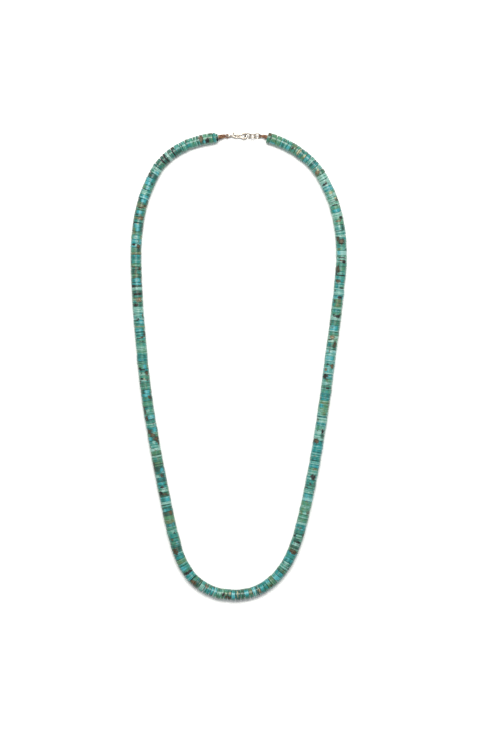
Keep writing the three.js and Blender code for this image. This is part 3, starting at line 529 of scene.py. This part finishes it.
def turquoise(settings):
    """Turquoise, cut to discs, ground round on a string and waxed.

    A dense stone with a soft polish, from olive through teal to sky blue. Its matrix is iron ore, from
    cream and rust to black, duller than the stone and a little pitted. The stone is mottled at 3, 1.6 and
    0.7 mm and layered at 0.8 mm along the string, the matrix's edges are frayed at 0.8 mm, and veins lie
    about 3 mm apart.
    """
    material = new_material("Waxed turquoise")
    tree = material.node_tree
    place = add_node(tree, "ShaderNodeTexCoord").outputs["Object"]

    def attribute(name, output="Fac"):
        return add_node(tree, "ShaderNodeAttribute", {"attribute_name": name}).outputs[output]

    def noise(size, detail, rough=0.55, distortion=0.0):
        return add_node(
            tree,
            "ShaderNodeTexNoise",
            {"noise_dimensions": "4D", "Scale": 1 / size, "Detail": detail, "Roughness": rough,
             "Distortion": distortion},
            {"Vector": place, "W": attribute("seed")},
        ).outputs["Fac"]

    def math(operation, *values, clamp=False):
        node = add_node(tree, "ShaderNodeMath", {"operation": operation, "use_clamp": clamp})
        for socket, value in zip(node.inputs, values):
            if isinstance(value, (int, float)):
                socket.default_value = value
            else:
                tree.links.new(value, socket)
        return node.outputs["Value"]

    def swing(value, amount):
        """A noise's departure from its middle, times an amount."""
        return math("MULTIPLY_ADD", value, amount, -amount / 2)

    def spread(value, low, high, to_low=0.0, to_high=1.0):
        return add_node(
            tree,
            "ShaderNodeMapRange",
            {"interpolation_type": "SMOOTHSTEP", "From Min": low, "From Max": high, "To Min": to_low,
             "To Max": to_high},
            {"Value": value},
        ).outputs["Result"]

    def blend(amount, below, above):
        node = add_node(tree, "ShaderNodeMix", {"data_type": "RGBA"}, {0: amount, 6: below})
        if isinstance(above, bpy.types.NodeSocket):
            tree.links.new(above, node.inputs[7])
        else:
            node.inputs[7].default_value = tuple(above)
        return node.outputs[2]

    mottle = noise(1.6 * MM, 3.0)
    cloud = noise(3.0 * MM, 2.0, distortion=0.6)
    fleck = noise(0.7 * MM, 4.0, 0.65)
    fray = noise(0.8 * MM, 5.0, 0.7, 0.4)
    grain = noise(0.16 * MM, 4.0, 0.6)

    hue = math("ADD", attribute("tint"), swing(mottle, 1.1), clamp=True)
    body = add_node(tree, "ShaderNodeValToRGB", links={"Fac": hue})
    set_ramp(body, (
        (0.0, settings.olive), (0.22, settings.sage), (0.48, settings.green), (0.75, settings.teal),
        (1.0, settings.sky),
    ))
    layer = add_node(
        tree, "ShaderNodeTexNoise", {"noise_dimensions": "1D", "Scale": 1 / (0.8 * MM), "Detail": 1.0},
        {"W": attribute("along")},
    ).outputs["Fac"]
    light = math("ADD", attribute("tone"), swing(cloud, 2.6))
    light = math("ADD", light, math("ADD", swing(fleck, 2.2), swing(layer, 3.8)))
    chalky = blend(spread(light, 0.1, 1.5, 0.0, 0.85), body.outputs["Color"], settings.pale)
    stone = blend(spread(light, -0.05, -1.4, 0.0, 0.85), chalky, settings.dark)

    cells = add_node(
        tree, "ShaderNodeTexVoronoi",
        {"voronoi_dimensions": "4D", "feature": "DISTANCE_TO_EDGE", "Scale": 1 / (3.0 * MM)},
        {"Vector": place, "W": attribute("seed")},
    ).outputs["Distance"]
    ore = math("MULTIPLY", spread(cells, 0.06, 0.0), spread(cloud, 0.48, 0.6, 0.0, 0.8))
    stone = blend(ore, stone, settings.brown)

    for slot in reversed(range(ORE_SLOTS)):
        from_mark = add_node(
            tree, "ShaderNodeVectorMath", {"operation": "LENGTH"},
            {"Vector": attribute(f"ore_place_{slot}", "Vector")},
        ).outputs["Value"]
        frayed = math("ADD", from_mark, math("ADD", swing(fray, 2.0), swing(mottle, 1.8)))
        patch = math("MULTIPLY", spread(frayed, 1.4, 0.8), attribute(f"ore_amount_{slot}"))
        rim = math("ADD", swing(fleck, 0.5), spread(frayed, 0.2, 0.9, 0.0, 0.3))
        ore_colour = add_node(
            tree, "ShaderNodeValToRGB",
            links={"Fac": math("ADD", attribute(f"ore_hue_{slot}"), rim, clamp=True)},
        )
        set_ramp(ore_colour, (
            (0.0, settings.cream), (0.36, settings.rust), (0.66, settings.brown), (0.95, settings.black),
        ))
        stone = blend(patch, stone, ore_colour.outputs["Color"])
        ore = math("MAXIMUM", ore, patch)

    pits = math("MULTIPLY", ore, fray)
    relief = math("MULTIPLY_ADD", grain, 0.35, math("MULTIPLY", pits, -1.0))
    bump = add_node(tree, "ShaderNodeBump", {"Strength": 0.35, "Distance": 0.05 * MM}, {"Height": relief})
    gloss = math("MULTIPLY_ADD", mottle, 0.16, spread(ore, 0.0, 1.0, 0.25, 0.5))
    shader = add_node(
        tree, "ShaderNodeBsdfPrincipled", {"IOR": 1.5},
        {"Base Color": stone, "Roughness": gloss, "Normal": bump.outputs["Normal"]},
    )
    finish_surface(tree, shader)
    return material


def silver(settings):
    """Sterling silver wire, bent and soldered by hand and polished.

    Bright and slightly warm, with fine rubbed scratches about 0.1 mm apart and a thin yellow-grey tarnish
    in clouds of 1 mm.
    """
    material = new_material("Polished silver")
    tree = material.node_tree
    place = add_node(tree, "ShaderNodeTexCoord").outputs["Object"]
    cloud = add_node(
        tree, "ShaderNodeTexNoise", {"Scale": 1 / (1.0 * MM), "Detail": 4.0}, {"Vector": place}
    ).outputs["Fac"]
    scratch = add_node(
        tree, "ShaderNodeTexNoise", {"Scale": 1 / (0.1 * MM), "Detail": 2.0, "Distortion": 1.5},
        {"Vector": place},
    ).outputs["Fac"]
    metal = add_node(tree, "ShaderNodeValToRGB", links={"Fac": cloud})
    set_ramp(metal, ((0.35, settings.tarnished), (0.6, settings.bright)))
    gloss = add_node(
        tree, "ShaderNodeMapRange", {"From Min": 0.35, "From Max": 0.65, "To Min": 0.32, "To Max": 0.14},
        {"Value": cloud},
    ).outputs["Result"]
    bump = add_node(tree, "ShaderNodeBump", {"Strength": 0.12, "Distance": 0.02 * MM}, {"Height": scratch})
    shader = add_node(
        tree, "ShaderNodeBsdfPrincipled", {"Metallic": 1.0},
        {"Base Color": metal.outputs["Color"], "Roughness": gloss, "Normal": bump.outputs["Normal"]},
    )
    finish_surface(tree, shader)
    return material


def waxed_linen(settings):
    """Linen cord, plied, dyed brown and waxed.

    Matt fibre under a thin skin of wax, which catches small soft lights. The dye runs from dark brown to
    rubbed tan in stretches of 1 mm, and the fibres show as a grain of 0.08 mm.
    """
    material = new_material("Waxed linen cord")
    tree = material.node_tree
    place = add_node(tree, "ShaderNodeTexCoord").outputs["Object"]
    dye = add_node(
        tree, "ShaderNodeTexNoise", {"Scale": 1 / (1.0 * MM), "Detail": 3.0, "Roughness": 0.6},
        {"Vector": place},
    ).outputs["Fac"]
    fibre = add_node(
        tree, "ShaderNodeTexNoise", {"Scale": 1 / (0.08 * MM), "Detail": 3.0}, {"Vector": place}
    ).outputs["Fac"]
    dyed = add_node(tree, "ShaderNodeValToRGB", links={"Fac": dye})
    set_ramp(dyed, ((0.3, settings.dye_dark), (0.48, settings.dye), (0.66, settings.dye_light)))
    bump = add_node(tree, "ShaderNodeBump", {"Strength": 0.5, "Distance": 0.04 * MM}, {"Height": fibre})
    shader = add_node(
        tree, "ShaderNodeBsdfPrincipled",
        {"Roughness": 0.6, "Coat Weight": 0.25, "Coat Roughness": 0.35, "IOR": 1.5},
        {"Base Color": dyed.outputs["Color"], "Normal": bump.outputs["Normal"]},
    )
    finish_surface(tree, shader)
    return material


def kept(name, make, settings):
    """The material of that name, made where it isn't there yet."""
    return bpy.data.materials.get(name) or make(settings)


def string_line(height):
    """The string's line in metres, at one height."""
    flat = spline(STRING_ROUTE) * MM
    return np.column_stack([flat, np.full(len(flat), height)])


def disc_edges(line, settings, random):
    """Where each disc starts and ends along the line, and how thick it is.

    The discs touch on the inner side of every bend, so their thicknesses are shared out along that side:
    one step along the line counts as (1 - disc radius * bend) of its length. A stone mark that goes right
    round is a disc of its own, and the lengths between these are shared out to the other discs.
    """
    along = lengths_along(line)
    forward = directions(line)
    bend = np.abs(np.gradient(np.unwrap(np.arctan2(forward[:, 1], forward[:, 0])), along))
    window = 49
    even_bend = np.convolve(np.pad(bend, window // 2, mode="edge"), np.ones(window) / window, mode="valid")
    inner_steps = np.diff(along) * (1 - settings.diameter / 2 * even_bend[1:])
    inner = np.concatenate([[0.0], np.cumsum(inner_steps)])
    whole = sorted(
        (at - size / 2, at + size / 2) for at, across, size, _, kind in MARKS
        if across is None and kind in STONE_KINDS
    )
    fixed = np.interp(np.array(whole) * MM, along, inner).tolist() + [[inner[-1]] * 2]
    edges = [0.0]
    for start, end in fixed:
        count = round((start - edges[-1]) / settings.pitch)
        thicknesses = np.clip(random.normal(1.0, settings.thickness_spread, count), *THICKNESS_LIMITS)
        shares = np.cumsum(thicknesses)
        edges += (edges[-1] + shares / shares[-1:] * (start - edges[-1])).tolist()
        edges.append(end)
    edges = np.array(edges[:-1])
    return np.interp(edges, inner, along), np.diff(edges)


def stone_fields(places, turns, middles, thicknesses, radii, random):
    """What the stone looks like at each vertex, as arrays of one value for each vertex of each disc.

    Each disc has a tint, a tone and a pattern of its own. A stone mark blends them to its own by a weight
    that falls off with the angle. A matrix mark gives each vertex its place in the mark, which is 1 at
    the mark's edge: its distance along the string over half the mark's length, and its distance round the
    disc over half the mark's width.
    """
    count = len(middles)
    shape = turns.shape
    by_run = np.repeat(random.normal(0.0, 1.0, count), random.integers(1, LONGEST_RUN + 1, count))[:count]
    tint = USUAL_TINT + TINT_BY_RUN * by_run + random.normal(0.0, TINT_BY_DISC, count)
    tint = np.broadcast_to(np.clip(tint, *TINT_LIMITS)[:, None, None], shape).copy()
    usual_tone = np.interp(middles / MM, *zip(*USUAL_TONES))
    tone = usual_tone + np.clip(random.normal(0.0, TONE_BY_DISC, count), *TONE_LIMITS)
    tone = np.broadcast_to(tone[:, None, None], shape).copy()
    seed = np.broadcast_to(random.uniform(0.0, PATTERN_RANGE, count)[:, None, None], shape)

    # The slots are first filled with small flecks. A row holds a mark's distance from the disc's middle, its
    # place, its angle, half its length, half its width, its amount and its hue.
    size = (ORE_SLOTS, count)
    ore = np.stack([
        np.full(size, np.inf),
        middles + random.uniform(-0.5, 0.5, size) * thicknesses,
        random.uniform(0.0, 2 * np.pi, size),
        random.uniform(*FLECK_SIZES, size) * MM,
        random.uniform(*FLECK_SIZES, size) * MM,
        np.where(random.random(size) < FLECK_CHANCE, random.uniform(*FLECK_AMOUNTS, size), 0.0),
        random.uniform(*FLECK_HUES, size),
    ], axis=-1)
    for at, across, mark_length, mark_width, kind in MARKS:
        off = np.abs(middles - at * MM)
        shared = np.minimum((thicknesses + mark_length * MM) / 2 - off, mark_length * MM)
        turn = np.arccos(across) if across is not None else 0.0
        if kind in STONE_KINDS:
            near = shared > LEAST_SHARED * np.minimum(thicknesses, mark_length * MM)
            apart = np.abs((turns[near] - turn + np.pi) % (2 * np.pi) - np.pi) * radii[near, None, None]
            weight = 1.0
            if across is not None:
                weight = np.clip(MARK_FADE - apart / (mark_width * MM / 2), 0.0, 1.0)
            tint[near] += weight * (STONE_KINDS[kind]["tint"] - tint[near])
            tone[near] += weight * (STONE_KINDS[kind]["tone"] - tone[near])
            continue
        near = (shared > 0.0) & (off < ore[-1, :, 0])
        half_width = np.inf if across is None else mark_width * MM / 2
        ore[-1, near, 0] = off[near]
        ore[-1, near, 1:] = at * MM, turn, mark_length * MM / 2, half_width, 1.0, ORE_KINDS[kind]
        order = np.argsort(ore[..., 0], axis=0, kind="stable")
        ore = np.take_along_axis(ore, order[..., None], axis=0)

    fields = {"tint": tint, "tone": tone, "seed": seed, "along": places}
    for slot, marks in enumerate(ore):
        _, at, turn, half_length, half_width, amount, hue = marks.T[:, :, None, None]
        apart = np.abs((turns - turn + np.pi) % (2 * np.pi) - np.pi) * radii[:, None, None]
        place = ((places - at) / half_length, apart / half_width, np.zeros(shape))
        fields[f"ore_place_{slot}"] = np.stack(place, axis=-1)
        fields[f"ore_amount_{slot}"] = np.broadcast_to(amount, shape)
        fields[f"ore_hue_{slot}"] = np.broadcast_to(hue, shape)
    return fields


def discs(settings):
    """All the discs, as vertices of shape (disc, profile point, side, xyz), with their stone's fields.

    A disc is its profile turned round its axis. The profile runs from the hole out over one face, over the
    worn edge, the rim and the other worn edge, and back over the other face to the hole. The rim's radius
    is r * (1 + a * (sin(2 angle + p) + sin(3 angle + q))). Each disc leans a little and stands on z = 0,
    apart from the small one at the left end, which sits on the cord. The disc beside that one is worn most.
    """
    random = np.random.default_rng(settings.seed)
    line = string_line(settings.diameter / 2)
    edges, thicknesses = disc_edges(line, settings, random)
    count = len(thicknesses)
    middles = (edges[1:] + edges[:-1]) / 2
    centres = at_lengths(line, middles)
    step = 0.3 * settings.pitch
    axis = unit(at_lengths(line, middles + step) - at_lengths(line, middles - step))
    axis = unit(axis + random.normal(0.0, settings.lean, (count, 3)))
    side = unit(np.cross(UP, axis))
    top = np.cross(axis, side)
    centres = centres + side * random.normal(0.0, settings.side_step, (count, 1))

    first_turn = random.uniform(-0.08, 0.08, (count, 1))
    turn = 2 * np.pi * np.arange(DISC_SIDES) / DISC_SIDES + first_turn
    spread = np.clip(random.normal(0.0, settings.diameter_spread, count), *DIAMETER_LIMITS)
    radii = settings.diameter / 2 * (1 + spread)
    radii[0] *= settings.end_disc
    phases = random.uniform(0, 2 * np.pi, (2, count, 1))
    waves = np.sin(2 * turn + phases[0]) + np.sin(3 * turn + phases[1])
    rim = radii[:, None] * (1 + settings.unevenness * waves)
    half = (thicknesses - settings.seam) / 2
    worn = np.minimum(settings.edge * random.uniform(*WEAR_LIMITS, count), half * settings.most_wear)
    worn[1] = settings.end_wear * half[1]
    face_rim = rim - settings.edge_depth * worn[:, None]
    hole = np.full_like(rim, settings.hole / 2)
    reaches = np.stack([hole, face_rim, rim, rim, face_rim, hole], axis=1)
    depths = np.stack([-half, -half, worn - half, half - worn, half, half], axis=1)
    depths = np.broadcast_to(depths[..., None], reaches.shape)
    spoke = np.cos(turn)[..., None] * side[:, None] + np.sin(turn)[..., None] * top[:, None]
    points = centres[:, None, None] + depths[..., None] * axis[:, None, None]
    points = points + reaches[..., None] * spoke[:, None]
    drop = points[..., 2].min(axis=(1, 2))
    drop[0] = 0.0
    points[..., 2] -= drop[:, None, None]

    places = middles[:, None, None] + depths
    turns = np.broadcast_to(turn[:, None, :], reaches.shape)
    fields = stone_fields(places, turns, middles, thicknesses, radii, random)
    return points, fields, edges


def add_strand(name, points, fields, chosen, replaced, material):
    """Adds one piece that holds the chosen discs, with their stone's fields as attributes."""
    part = points[chosen]
    count, profile, sides = part.shape[:3]
    one = grid_faces(profile, sides, wrap_rows=True)
    faces = (one[None] + (np.arange(count) * profile * sides)[:, None, None]).reshape(-1, 4)
    piece = add_piece(name, (part.reshape(-1, 3), faces), material, (replaced,))
    ends = np.empty(2 * len(piece.data.edges), dtype=np.int32)
    piece.data.edges.foreach_get("vertices", ends)
    rings = ends.reshape(-1, 2) // sides
    piece.data.attributes["sharp_edge"].data.foreach_set("value", rings[:, 0] == rings[:, 1])
    for key, field in fields.items():
        values = np.ascontiguousarray(field[chosen], dtype=np.float32).ravel()
        if key.startswith("ore_place"):
            piece.data.attributes.new(key, "FLOAT_VECTOR", "POINT").data.foreach_set("vector", values)
        else:
            piece.data.attributes.new(key, "FLOAT", "POINT").data.foreach_set("value", values)
    return piece


class NECKLACE_OT_discs(bpy.types.Operator):
    """Makes the two strands of stone discs and the cord that runs through them."""

    bl_idname = "necklace.discs"
    bl_label = "Thread the discs"

    def execute(self, context):
        settings = context.scene.necklace_discs
        material = kept("Waxed turquoise", turquoise, settings)
        points, fields, edges = discs(settings)
        left = edges[1:] <= edges[-1] / 2
        add_strand("disc_strand_left", points, fields, left, "bead_string_left", material)
        add_strand("disc_strand_right", points, fields, ~left, "bead_string_right", material)
        linen = kept("Waxed linen cord", waxed_linen, context.scene.necklace_clasp)
        line = evenly(string_line(settings.diameter / 2), 700)
        add_piece("stringing_cord", tube(line, UP, settings.cord / 2, 8), linen)
        return {"FINISHED"}


def neck_line(line, loop_tip, outward, binding_length, clearance):
    """The middle line of a bound cord end, from the string's end to where its loop begins.

    It is a cubic Bezier curve that leaves the string in the string's direction and ends in the clasp's.
    """
    leaving = unit(line[0] - line[1])
    start = line[0] + leaving * clearance
    end = np.array([start[0] + outward[0] * binding_length, loop_tip[1], loop_tip[2]])
    bow = binding_length / 3
    t = np.linspace(0.0, 1.0, 260)[:, None]
    corners = (start, start + leaving * bow, end - outward * bow, end)
    weights = ((1 - t) ** 3, 3 * t * (1 - t) ** 2, 3 * t**2 * (1 - t), t**3)
    return sum(weight * corner for weight, corner in zip(weights, corners))


def winding(core, outer, cord, twist):
    """Cord wound round a core in touching turns.

    It is a plied tube along the helix core point + (outer - cord / 2) * (cos a * side + sin a * top), whose
    angle grows by one turn for each cord's width along the core.
    """
    along = lengths_along(core)
    forward = directions(core)
    side = unit(np.cross(UP, forward))
    top = np.cross(forward, side)
    reel = cord / 2 + (along[-1] - cord) * along / along[-1]
    turn = 2 * np.pi * (reel / cord)[:, None]
    spoke = np.cos(turn) * side + np.sin(turn) * top
    middle = at_lengths(core, reel) + (outer - cord / 2) * spoke
    return tube(middle, spoke, plied(cord / 2, middle, twist), 12)


def cord_loop(start, outward, across, reach, half_width, root, cord, twist):
    """The loop that stands out of a binding: two legs side by side, joined by a half round.

    It is a plied tube along a spline through points given as distances out from the binding and across.
    """
    slant = half_width * np.sqrt(0.5)
    plan = [(-reach / 2, root), (0.0, root), (reach - half_width, half_width),
            (reach - half_width + slant, slant), (reach, 0.0)]
    plan = np.array(plan + [(out, -width) for out, width in plan[-2::-1]])
    line = evenly(spline(start + plan[:, :1] * outward + plan[:, 1:] * across, 16), 90)
    return tube(line, np.cross(across, outward), plied(cord / 2, line, twist), 12)


def clasp_middle():
    """The clasp's middle line, as its place along Y and its height: those of the first ring."""
    low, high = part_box("ring_1")
    return (low[1] + high[1]) / 2, (low[2] + high[2]) / 2


def cord_end(settings, disc_radius, node, towards, binding_length, fullness, held, tilt):
    """A bound cord end: its core, the winding round it and the loop that stands out of it.

    It starts at the string's left end where towards is 1, and at its right end where it is -1. The binding
    is thicker by its fullness. The loop has room for a wire as thick as held, and is tilted from flat.
    """
    low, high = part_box(node)
    outward = np.array([float(towards), 0.0, 0.0])
    loop_x = high[0] if towards > 0 else low[0]
    loop_tip = np.array([loop_x, *clasp_middle()])
    core = neck_line(
        string_line(disc_radius)[::towards], loop_tip, outward, binding_length, settings.binding_clearance
    )
    shares = lengths_along(core) / lengths_along(core)[-1]
    outer = np.interp(shares, [0, 1], [settings.binding_start / 2, settings.binding_end / 2])[:, None]
    outer = outer * fullness
    cord = settings.loop_cord
    half_width = (held + settings.loop_room + cord) / 2
    root = min(half_width, (settings.binding_end - cord) / 2 - 0.1 * MM)
    loop = cord_loop(
        core[-1], outward, np.array([0.0, np.cos(tilt), np.sin(tilt)]),
        abs(loop_tip[0] - core[-1][0]) - cord / 2, half_width, root, cord, settings.loop_twist,
    )
    inner = tube(core, UP, outer - settings.binding_cord / 2, 12)
    return merged(winding(core, outer, settings.binding_cord, settings.binding_twist), inner, loop)


class NECKLACE_OT_cord_ends(bpy.types.Operator):
    """Makes the two bound cord ends with their loops."""

    bl_idname = "necklace.cord_ends"
    bl_label = "Bind the cord ends"

    def execute(self, context):
        settings = context.scene.necklace_clasp
        radius = context.scene.necklace_discs.diameter / 2
        linen = kept("Waxed linen cord", waxed_linen, settings)
        left = cord_end(
            settings, radius, "cord_loop_left", 1, settings.left_binding, settings.left_fullness,
            settings.hook_wire, 0.0,
        )
        right = cord_end(
            settings, radius, "cord_loop_right", -1, settings.right_binding, 1.0, settings.ring_wire,
            settings.ring_tilt - np.pi / 2,
        )
        add_piece("bound_cord_left", left, linen, ("cord_loop_left",), 90)
        add_piece("bound_cord_right", right, linen, ("cord_loop_right",), 90)
        return {"FINISHED"}


def hook_plan(settings, eye_x, bend_x):
    """The hook's wire from above, from its eye round its bend to its tip, as points about its middle line.

    The shank and the arm run side by side along the neck. The bend is an arc of a circle.
    """
    wire = settings.hook_wire
    bend_radius = (settings.hook_bend - wire) / 2
    eye_edge = eye_x + (settings.hook_eye - wire) / 2
    beside = (wire + settings.neck_gap) / 2
    opening = np.arcsin(beside / bend_radius)
    neck_right = bend_x - bend_radius * np.cos(opening) - wire / 2
    neck_left = neck_right - settings.neck_length
    rise = settings.tip_rise - beside
    turn = (np.pi - 2 * opening) * np.linspace(-1, 1, 13)
    bend = np.column_stack([bend_x + bend_radius * np.cos(turn), bend_radius * np.sin(turn)])
    return np.vstack([
        [(eye_edge, 0.0), (eye_edge + wire, 0.0), (neck_left, -beside), (neck_right, -beside)],
        bend,
        [(neck_right, beside), (neck_left + rise / 2, beside), (neck_left - rise / 2, settings.tip_rise)],
    ])


class NECKLACE_OT_hook(bpy.types.Operator):
    """Makes the bent silver hook with its soldered eye and its ball tip."""

    bl_idname = "necklace.hook"
    bl_label = "Bend the hook"

    def execute(self, context):
        settings = context.scene.necklace_clasp
        low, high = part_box("hook")
        middle = np.array([0.0, *clasp_middle()])
        wire = settings.hook_wire
        eye_x = low[0] + settings.hook_eye / 2
        plan = hook_plan(settings, eye_x, high[0] - settings.hook_bend / 2)
        line = evenly(spline(middle + np.column_stack([plan, np.zeros(len(plan))])), 200)
        solder = np.exp(-((lengths_along(line) / settings.solder_length) ** 2))
        arm = tube(line, UP, (wire / 2 * (1 + settings.solder_swell * solder))[:, None], 16)
        eye_centre = middle + np.array([eye_x, 0.0, 0.0])
        eye = ring(eye_centre, (settings.hook_eye - wire) / 2, (0, 0, 1), (0, -1, 0), wire, 16)
        tip = ball(line[-1], settings.tip_ball)
        metal = kept("Polished silver", silver, settings)
        add_piece("silver_hook", merged(eye, arm, tip), metal, ("hook",), 75)
        return {"FINISHED"}


class NECKLACE_OT_rings(bpy.types.Operator):
    """Makes the three linked silver rings."""

    bl_idname = "necklace.rings"
    bl_label = "Link the rings"

    def execute(self, context):
        settings = context.scene.necklace_clasp
        metal = kept("Polished silver", silver, settings)
        for index, node in enumerate(("ring_1", "ring_2", "ring_3")):
            low, high = (np.array(corner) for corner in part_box(node))
            tilt = settings.ring_tilt * (-1) ** index
            across = (0.0, np.cos(tilt), np.sin(tilt))
            axis = (0.0, -np.sin(tilt), np.cos(tilt))
            radius = (high[0] - low[0] - settings.ring_wire) / 2
            shape = ring((low + high) / 2, radius, across, axis, settings.ring_wire)
            add_piece(f"silver_{node}", shape, metal, (node,))
        return {"FINISHED"}


class NECKLACE_OT_stage(bpy.types.Operator):
    """Makes the pale floor, the soft lights and the camera that looks straight down."""

    bl_idname = "necklace.stage"
    bl_label = "Set the stage"

    def execute(self, context):
        settings = context.scene.necklace_stage
        half = settings.floor_side / 2
        corners = [(-half, -half, 0), (half, -half, 0), (half, half, 0), (-half, half, 0)]
        mesh = bpy.data.meshes.new("floor")
        mesh.from_pydata(corners, [], [(0, 1, 2, 3)])
        paper = new_material("White paper")
        shader = add_node(
            paper.node_tree, "ShaderNodeBsdfPrincipled",
            {"Base Color": settings.floor_colour, "Roughness": 0.9, "Specular IOR Level": 0.1},
        )
        finish_surface(paper.node_tree, shader)
        mesh.materials.append(paper)
        floor = bpy.data.objects.new("floor", mesh)
        context.scene.collection.objects.link(floor)

        world = bpy.data.worlds.new("Studio")
        world.use_nodes = True
        background = world.node_tree.nodes["Background"]
        background.inputs["Color"].default_value = settings.surround_colour
        background.inputs["Strength"].default_value = settings.surround
        context.scene.world = world
        context.scene.view_settings.view_transform = "Standard"

        key = bpy.data.lights.new("key", "AREA")
        key.shape = "ELLIPSE"
        key.size = settings.key_width
        key.size_y = settings.key_depth
        key.energy = settings.key_power
        key.color = settings.key_colour[:3]
        lamp = bpy.data.objects.new("key", key)
        lamp.location = (0.0, settings.key_ahead, settings.key_height)
        lamp.rotation_euler = lamp.location.to_track_quat("Z", "Y").to_euler()
        context.scene.collection.objects.link(lamp)

        lens = bpy.data.cameras.new("camera")
        lens.sensor_width = 36.0
        lens.lens = lens.sensor_width * settings.camera_height / settings.framed
        camera = bpy.data.objects.new("camera", lens)
        height = context.scene.necklace_discs.diameter / 2 + settings.camera_height
        camera.location = Vector((settings.aside, settings.ahead, height))
        context.scene.collection.objects.link(camera)
        context.scene.camera = camera
        return {"FINISHED"}


OPERATORS = (
    NECKLACE_OT_stage,
    NECKLACE_OT_discs,
    NECKLACE_OT_cord_ends,
    NECKLACE_OT_hook,
    NECKLACE_OT_rings,
)


class NECKLACE_PT_panel(bpy.types.Panel):
    """Lists the necklace's operators and sizes."""

    bl_idname = "NECKLACE_PT_panel"
    bl_label = "Necklace"
    bl_space_type = "VIEW_3D"
    bl_region_type = "UI"
    bl_category = "Necklace"

    def draw(self, context):
        for operator in OPERATORS:
            self.layout.operator(operator.bl_idname)
        scene = context.scene
        for settings in (scene.necklace_discs, scene.necklace_clasp, scene.necklace_stage):
            box = self.layout.box()
            for key in settings.__annotations__:
                box.prop(settings, key)


CLASSES = (DiscSettings, ClaspSettings, StageSettings, *OPERATORS, NECKLACE_PT_panel)


def register():
    for cls in CLASSES:
        bpy.utils.register_class(cls)
    bpy.types.Scene.necklace_discs = bpy.props.PointerProperty(type=DiscSettings)
    bpy.types.Scene.necklace_clasp = bpy.props.PointerProperty(type=ClaspSettings)
    bpy.types.Scene.necklace_stage = bpy.props.PointerProperty(type=StageSettings)


def unregister():
    del bpy.types.Scene.necklace_discs
    del bpy.types.Scene.necklace_clasp
    del bpy.types.Scene.necklace_stage
    for cls in reversed(CLASSES):
        bpy.utils.unregister_class(cls)


def main():
    register()
    bpy.ops.necklace.stage()
    bpy.ops.necklace.discs()
    bpy.ops.necklace.cord_ends()
    bpy.ops.necklace.hook()
    bpy.ops.necklace.rings()


if __name__ == "__main__":
    main()
